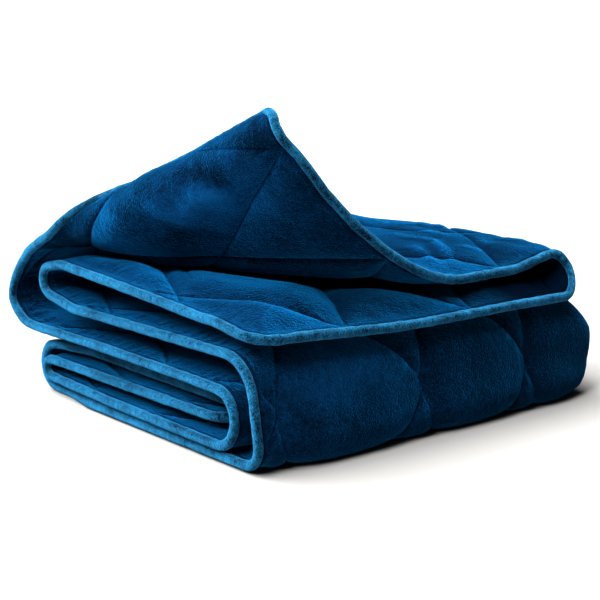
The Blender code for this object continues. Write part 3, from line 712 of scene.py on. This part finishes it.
def makeBinding():
    width, radius = blanket["width"], blanket["cornerRadius"]
    middle = np.array([width / 2, end / 2])
    outline = []
    for side in range(4):
        heading = side * pi / 2
        ahead = np.array([cos(heading), sin(heading)])
        half = (width / 2, end / 2) if side % 2 == 0 else (end / 2, width / 2)
        aside = np.array([sin(heading), -cos(heading)])
        start = middle + aside * half[1] - ahead * (half[0] - radius)
        steps = round(2 * (half[0] - radius) / binding["stationSpacing"])
        outline += [(start + ahead * 2 * (half[0] - radius) * i / steps, aside) for i in range(steps)]
        pivot = start + ahead * 2 * (half[0] - radius) - aside * radius
        for i in range(binding["cornerSteps"]):
            turn = heading - pi / 2 + pi / 2 * i / binding["cornerSteps"]
            away = np.array([cos(turn), sin(turn)])
            outline.append((pivot + away * radius, away))
    outline.append(outline[0])
    v, u = np.array([place for place, _ in outline]).T
    awayV, awayU = np.array([away for _, away in outline]).T
    point, along, across, normal = clothFrame(u, v)
    outward = along * awayU[:, None] + across * awayV[:, None]
    outward /= np.linalg.norm(outward, axis=-1, keepdims=True)
    mesh = bmesh.new()
    sides = binding["sides"]
    bmesh.ops.create_grid(mesh, x_segments=len(outline) - 1, y_segments=sides, size=0.5)
    last = len(outline) - 1
    cells = [(round((vert.co.x + 0.5) * last), round((vert.co.y + 0.5) * sides)) for vert in mesh.verts]
    run = np.concatenate([[0.0], np.cumsum(np.hypot(np.diff(u), np.diff(v)))])
    ripple = smoothNoise(run, run * 0, binding["rippleSpacing"], binding["seed"])
    ripple[-1] = ripple[0]
    for vert, (i, j) in zip(mesh.verts, cells):
        angle = 2 * pi * j / sides
        # a rounded strip, flatter where it meets the quilt
        c, s = cos(angle), sin(angle)
        swell = 1 + ripple[i] * binding["ripple"] / binding["halfHeight"] * 2
        out = binding["width"] * (0.5 + 0.5 * np.sign(c) * abs(c) ** binding["flatness"][0])
        high = binding["halfHeight"] * np.sign(s) * abs(s) ** binding["flatness"][1] * swell
        atRoot = max(1 - out / binding["rootReach"], 0.0)
        high *= 1 - atRoot * (1 - binding["rootHalf"] / binding["halfHeight"])
        vert.co = Vector(point[i] + outward[i] * (binding["gap"] + out) + normal[i] * high)
        vert.co.z = max(vert.co.z, binding["aboveFloor"])
    bmesh.ops.remove_doubles(mesh, verts=mesh.verts, dist=binding["weld"])
    ring = newObject("blanketBinding", mesh)
    facesOut(ring)
    return ring


# plush
plush = {
    "deep": (0.0008, 0.0070, 0.021), "lit": (0.0018, 0.0320, 0.092),
    # deep to lit spans the pile's random tone; bright is reached where the painted highlight lifts it, and the
    # painted shade pushes it towards deep
    "bright": (0.0040, 0.0900, 0.240), "deepUpTo": 0.43, "litFrom": 0.59, "brightFrom": 0.90,
    "roughness": 0.90, "specular": 0.01,
    "sheenWeight": 1.0, "sheenRoughness": 0.33, "sheenTint": (0.012, 0.43, 1.0),
    "brushSize": 22.0, "napSize": 130.0, "pileSize": 520.0,
    "shares": (0.30, 0.30, 0.40), "noiseRoughness": 0.6,   # of brushed patches, nap and single tufts
    "brushDepth": 0.0030, "napDepth": 0.0009, "pileDepth": 0.0021,
    "puckerSize": 42.0, "puckerDepth": 0.0007,
    "paintedShadeColour": 0.30, "paintedShadeSheen": 0.95,   # how much the painted shade and highlight change the colour and the sheen weight
}
# the binding's plush: a copy of the quilt's with much lighter lit and bright colours, painted sheen for the
# light its rounded edge catches
bindingPlushPaintedSheen = dict(plush, deep=(0.0006, 0.006, 0.018), lit=(0.0240, 0.200, 0.370), sheenTint=(0.10, 0.54, 1.0),
             bright=(0.0300, 0.240, 0.420), sheenRoughness=0.36,
             brushDepth=0.0010, napDepth=0.0013, pileDepth=0.0030, pileSize=600.0,
             deepUpTo=0.42, litFrom=0.60)


def addNode(tree, kind, **settings):
    node = tree.nodes.new(kind)
    for key, value in settings.items():
        if hasattr(node, key):
            setattr(node, key, value)
        else:
            node.inputs[key.replace("_", " ")].default_value = value
    return node


def addMath(tree, operation, *values):
    node = addNode(tree, "ShaderNodeMath", operation=operation, use_clamp=True)
    for socket, value in zip(node.inputs, values):
        if isinstance(value, float):
            socket.default_value = value
        else:
            tree.links.new(value, socket)
    return node.outputs["Value"]


def plushMaterial(name, look, seams):
    material = bpy.data.materials.new(name)
    material.use_nodes = True
    tree = material.node_tree
    link = tree.links.new
    shader = tree.nodes["Principled BSDF"]
    shader.inputs["Roughness"].default_value = look["roughness"]
    shader.inputs["Specular IOR Level"].default_value = look["specular"]
    shader.inputs["Sheen Weight"].default_value = look["sheenWeight"]
    shader.inputs["Sheen Roughness"].default_value = look["sheenRoughness"]
    shader.inputs["Sheen Tint"].default_value = (*look["sheenTint"], 1)
    place = addNode(tree, "ShaderNodeTexCoord")
    layers = []
    for size, detail in ((look["brushSize"], 3.0), (look["napSize"], 3.0), (look["pileSize"], 2.0)):
        layer = addNode(tree, "ShaderNodeTexNoise", Scale=size, Detail=detail,
                        Roughness=look["noiseRoughness"])
        link(place.outputs["Object"], layer.inputs["Vector"])
        layers.append(layer.outputs["Fac"])
    # colour: brushed patches, nap and single tufts together
    blend = None
    for layer, share in zip(layers, look["shares"]):
        step = addNode(tree, "ShaderNodeMath", operation="MULTIPLY_ADD")
        step.inputs[1].default_value = share
        step.inputs[2].default_value = 0.0
        link(layer, step.inputs[0])
        if blend:
            link(blend, step.inputs[2])
        blend = step.outputs["Value"]
    if seams:
        # painted shade and highlight: the stored attribute darkens the colour and lowers the sheen weight, and
        # below 0 lightens the colour
        paintedShadeAndTone = addNode(tree, "ShaderNodeAttribute", attribute_name="paintedShadeAndTone")
        blend = addMath(tree, "MULTIPLY_ADD", paintedShadeAndTone.outputs["Fac"], -look["paintedShadeColour"], blend)
        sheen = addMath(tree, "MULTIPLY_ADD", paintedShadeAndTone.outputs["Fac"], -look["paintedShadeSheen"], look["sheenWeight"])
        link(sheen, shader.inputs["Sheen Weight"])
    ramp = addNode(tree, "ShaderNodeValToRGB")
    ramp.color_ramp.elements[0].position = look["deepUpTo"]
    ramp.color_ramp.elements[0].color = (*look["deep"], 1)
    ramp.color_ramp.elements[1].position = look["litFrom"]
    ramp.color_ramp.elements[1].color = (*look["lit"], 1)
    ramp.color_ramp.elements.new(look["brightFrom"]).color = (*look["bright"], 1)
    link(blend, ramp.inputs["Fac"])
    link(ramp.outputs["Color"], shader.inputs["Base Color"])
    normal = None
    for layer, depth in zip(layers, (look["brushDepth"], look["napDepth"], look["pileDepth"])):
        bump = addNode(tree, "ShaderNodeBump", Strength=1.0, Distance=depth)
        link(layer, bump.inputs["Height"])
        if normal:
            link(normal, bump.inputs["Normal"])
        normal = bump.outputs["Normal"]
    if seams:
        # small puckers square to the sewing, gone a little way from it
        strength = addNode(tree, "ShaderNodeAttribute", attribute_name="pucker")
        run = addNode(tree, "ShaderNodeAttribute", attribute_name="seamRun")
        pucker = addNode(tree, "ShaderNodeTexNoise", noise_dimensions="1D", Scale=look["puckerSize"],
                         Detail=2.0)
        link(run.outputs["Fac"], pucker.inputs["W"])
        height = addNode(tree, "ShaderNodeMath", operation="MULTIPLY")
        link(pucker.outputs["Fac"], height.inputs[0])
        link(strength.outputs["Fac"], height.inputs[1])
        bump = addNode(tree, "ShaderNodeBump", Strength=1.0, Distance=look["puckerDepth"])
        link(height.outputs["Value"], bump.inputs["Height"])
        link(normal, bump.inputs["Normal"])
        normal = bump.outputs["Normal"]
    link(normal, shader.inputs["Normal"])
    return material


addStudio()
addCamera()
print("studio and camera stand")

quilt = makeQuilt()
quilt.data.materials.append(plushMaterial("navyPlush", plush, seams=True))
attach(quilt, "root")
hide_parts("quilt")
print("quilt folded,", len(quilt.data.polygons), "faces")

ring = makeBinding()
ring.data.materials.append(plushMaterial("navyBindingPlushPaintedSheen", bindingPlushPaintedSheen, seams=False))
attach(ring, "root")
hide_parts("binding")
print("binding sewn,", len(ring.data.polygons), "faces")
